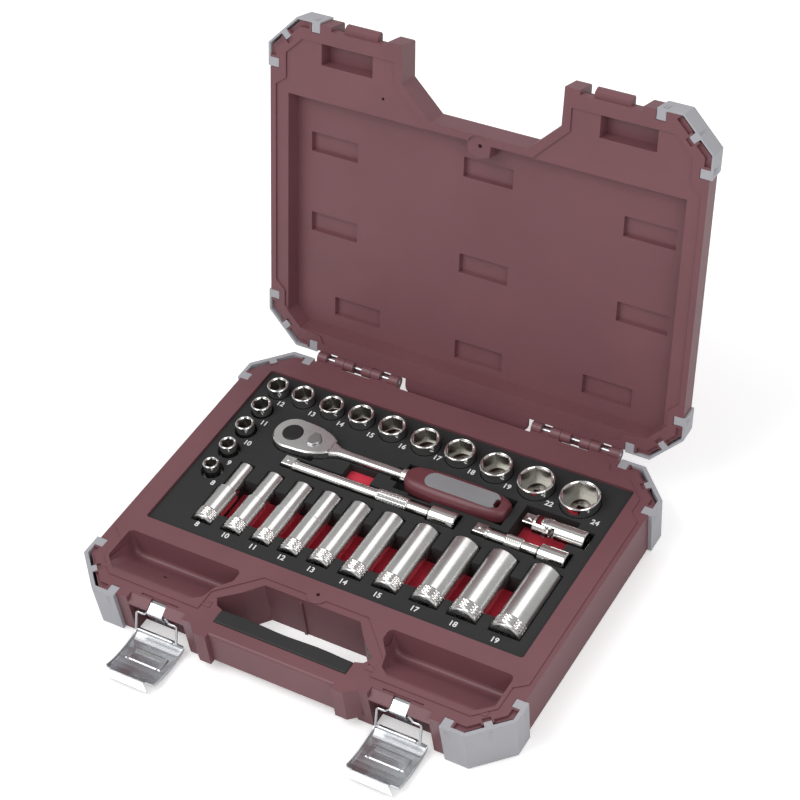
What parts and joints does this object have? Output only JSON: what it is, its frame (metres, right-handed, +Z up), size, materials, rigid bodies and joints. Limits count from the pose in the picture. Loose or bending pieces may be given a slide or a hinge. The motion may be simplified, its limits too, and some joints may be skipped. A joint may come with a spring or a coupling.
{
  "type": "socket wrench set in case",
  "caption": "Socket wrench set in a hinged case with two draw latches: ratchet, sockets, extension bars and universal joint in foam.",
  "frame": {"origin": "on the floor under the middle of the base", "axes": "+X along the hinge, -Y at the handle, +Z up"},
  "size_m": [0.36, 0.4102, 0.3087],
  "materials": {
    "shell": "satin",
    "guard": "satin",
    "pad": "matte",
    "foam_black": "matte",
    "foam_red": "matte",
    "steel": "satin",
    "chrome": "gloss",
    "black_plastic": "satin",
    "grip_red": "satin",
    "grip_grey": "satin"
  },
  "bodies": {
    "case": {"base_shell": "shell", "base_guard_front_left": "guard", "base_guard_front_right": "guard", "base_guard_back_left": "guard", "base_guard_back_right": "guard", "handle_grip": "pad", "foam_top": "foam_black", "foam_base": "foam_red", "hinge_pin_left": "steel", "hinge_pin_right": "steel", "latch_clip_left": "steel", "latch_clip_right": "steel"},
    "lid": {"lid_shell": "shell", "lid_guard_front_left": "guard", "lid_guard_front_right": "guard", "lid_guard_back_left": "guard", "lid_guard_back_right": "guard"},
    "bail_left": {"latch_bail_left": "steel"},
    "bail_right": {"latch_bail_right": "steel"},
    "lever_left": {"latch_lever_left": "steel"},
    "lever_right": {"latch_lever_right": "steel"},
    "ratchet": {"ratchet_body": "chrome", "ratchet_cover": "chrome", "ratchet_collar": "chrome", "ratchet_grip": "grip_red", "grip_inlay": "grip_grey"},
    "ratchet_drive": {"ratchet_gear": "steel"},
    "ratchet_button": {"release_button": "black_plastic"},
    "ratchet_reverse": {"reverse_lever": "chrome", "ratchet_pawl": "steel"},
    "long_bar": {"extension_bar_long": "chrome"},
    "short_bar": {"extension_bar_short": "chrome"},
    "joint_drive_end": {"joint_driver": "chrome"},
    "joint_middle": {"joint_cross": "steel"},
    "joint_socket_end": {"joint_socket": "chrome"},
    "short_08": {"socket_08": "chrome"},
    "short_09": {"socket_09": "chrome"},
    "short_10": {"socket_10": "chrome"},
    "short_11": {"socket_11": "chrome"},
    "short_12": {"socket_12": "chrome"},
    "short_13": {"socket_13": "chrome"},
    "short_14": {"socket_14": "chrome"},
    "short_15": {"socket_15": "chrome"},
    "short_16": {"socket_16": "chrome"},
    "short_17": {"socket_17": "chrome"},
    "short_18": {"socket_18": "chrome"},
    "short_19": {"socket_19": "chrome"},
    "short_22": {"socket_22": "chrome"},
    "short_24": {"socket_24": "chrome"},
    "deep_08": {"deep_socket_08": "chrome"},
    "deep_10": {"deep_socket_10": "chrome"},
    "deep_11": {"deep_socket_11": "chrome"},
    "deep_12": {"deep_socket_12": "chrome"},
    "deep_13": {"deep_socket_13": "chrome"},
    "deep_14": {"deep_socket_14": "chrome"},
    "deep_15": {"deep_socket_15": "chrome"},
    "deep_17": {"deep_socket_17": "chrome"},
    "deep_18": {"deep_socket_18": "chrome"},
    "deep_19": {"deep_socket_19": "chrome"}
  },
  "joints": [
    {"name": "lid_hinge", "type": "hinge", "parent": "case", "child": "lid", "pos_m": [0, 0.1413, 0.038], "axis": [-1, 0, 0], "range_deg": [-104.2, 0]},
    {"name": "bail_left_pivot", "type": "hinge", "parent": "case", "child": "bail_left", "pos_m": [-0.101, -0.1338, 0.0286], "axis": [-1, 0, 0], "range_deg": [-27.6, 100]},
    {"name": "lever_left_pivot", "type": "hinge", "parent": "bail_left", "child": "lever_left", "pos_m": [-0.101, -0.1396, 0.0123], "axis": [1, 0, 0], "range_deg": [-114, 0]},
    {"name": "bail_right_pivot", "type": "hinge", "parent": "case", "child": "bail_right", "pos_m": [0.101, -0.1338, 0.0286], "axis": [-1, 0, 0], "range_deg": [-27.6, 100]},
    {"name": "lever_right_pivot", "type": "hinge", "parent": "bail_right", "child": "lever_right", "pos_m": [0.101, -0.1396, 0.0123], "axis": [1, 0, 0], "range_deg": [-114, 0]},
    {"name": "ratchet_lift", "type": "slide", "parent": "case", "child": "ratchet", "axis": [0, 0, 1], "range_m": [0, 0.045]},
    {"name": "long_bar_lift", "type": "slide", "parent": "case", "child": "long_bar", "axis": [0, 0, 1], "range_m": [0, 0.045]},
    {"name": "short_bar_lift", "type": "slide", "parent": "case", "child": "short_bar", "axis": [0, 0, 1], "range_m": [0, 0.045]},
    {"name": "joint_lift", "type": "slide", "parent": "case", "child": "joint_socket_end", "axis": [0, 0, 1], "range_m": [0, 0.045]},
    {"name": "drive_spin", "type": "hinge", "parent": "ratchet", "child": "ratchet_drive", "pos_m": [-0.102, 0.055, 0.0372], "axis": [0, 0, 1], "continuous": true},
    {"name": "button_press", "type": "slide", "parent": "ratchet", "child": "ratchet_button", "axis": [0, 0, -1], "range_m": [0, 0.0013], "stiffness_N_per_m": 400, "springref_m": -0.001},
    {"name": "reverse_turn", "type": "hinge", "parent": "ratchet", "child": "ratchet_reverse", "pos_m": [-0.082, 0.055, 0.042], "axis": [0, 0, 1], "range_deg": [-14, 14]},
    {"name": "joint_swing", "type": "hinge", "parent": "joint_socket_end", "child": "joint_middle", "pos_m": [0.1165, 0.054, 0.0357], "axis": [0, 0, 1], "range_deg": [-8, 8]},
    {"name": "joint_tilt", "type": "hinge", "parent": "joint_middle", "child": "joint_drive_end", "pos_m": [0.1165, 0.054, 0.0357], "axis": [0, 1, 0], "range_deg": [0, 30]},
    {"name": "short_08_lift", "type": "slide", "parent": "case", "child": "short_08", "axis": [0, 0, 1], "range_m": [0, 0.045]},
    {"name": "short_09_lift", "type": "slide", "parent": "case", "child": "short_09", "axis": [0, 0, 1], "range_m": [0, 0.045]},
    {"name": "short_10_lift", "type": "slide", "parent": "case", "child": "short_10", "axis": [0, 0, 1], "range_m": [0, 0.045]},
    {"name": "short_11_lift", "type": "slide", "parent": "case", "child": "short_11", "axis": [0, 0, 1], "range_m": [0, 0.045]},
    {"name": "short_12_lift", "type": "slide", "parent": "case", "child": "short_12", "axis": [0, 0, 1], "range_m": [0, 0.045]},
    {"name": "short_13_lift", "type": "slide", "parent": "case", "child": "short_13", "axis": [0, 0, 1], "range_m": [0, 0.045]},
    {"name": "short_14_lift", "type": "slide", "parent": "case", "child": "short_14", "axis": [0, 0, 1], "range_m": [0, 0.045]},
    {"name": "short_15_lift", "type": "slide", "parent": "case", "child": "short_15", "axis": [0, 0, 1], "range_m": [0, 0.045]},
    {"name": "short_16_lift", "type": "slide", "parent": "case", "child": "short_16", "axis": [0, 0, 1], "range_m": [0, 0.045]},
    {"name": "short_17_lift", "type": "slide", "parent": "case", "child": "short_17", "axis": [0, 0, 1], "range_m": [0, 0.045]},
    {"name": "short_18_lift", "type": "slide", "parent": "case", "child": "short_18", "axis": [0, 0, 1], "range_m": [0, 0.045]},
    {"name": "short_19_lift", "type": "slide", "parent": "case", "child": "short_19", "axis": [0, 0, 1], "range_m": [0, 0.045]},
    {"name": "short_22_lift", "type": "slide", "parent": "case", "child": "short_22", "axis": [0, 0, 1], "range_m": [0, 0.045]},
    {"name": "short_24_lift", "type": "slide", "parent": "case", "child": "short_24", "axis": [0, 0, 1], "range_m": [0, 0.045]},
    {"name": "deep_08_lift", "type": "slide", "parent": "case", "child": "deep_08", "axis": [0, 0, 1], "range_m": [0, 0.045]},
    {"name": "deep_10_lift", "type": "slide", "parent": "case", "child": "deep_10", "axis": [0, 0, 1], "range_m": [0, 0.045]},
    {"name": "deep_11_lift", "type": "slide", "parent": "case", "child": "deep_11", "axis": [0, 0, 1], "range_m": [0, 0.045]},
    {"name": "deep_12_lift", "type": "slide", "parent": "case", "child": "deep_12", "axis": [0, 0, 1], "range_m": [0, 0.045]},
    {"name": "deep_13_lift", "type": "slide", "parent": "case", "child": "deep_13", "axis": [0, 0, 1], "range_m": [0, 0.045]},
    {"name": "deep_14_lift", "type": "slide", "parent": "case", "child": "deep_14", "axis": [0, 0, 1], "range_m": [0, 0.045]},
    {"name": "deep_15_lift", "type": "slide", "parent": "case", "child": "deep_15", "axis": [0, 0, 1], "range_m": [0, 0.045]},
    {"name": "deep_17_lift", "type": "slide", "parent": "case", "child": "deep_17", "axis": [0, 0, 1], "range_m": [0, 0.045]},
    {"name": "deep_18_lift", "type": "slide", "parent": "case", "child": "deep_18", "axis": [0, 0, 1], "range_m": [0, 0.045]},
    {"name": "deep_19_lift", "type": "slide", "parent": "case", "child": "deep_19", "axis": [0, 0, 1], "range_m": [0, 0.045]}
  ]
}
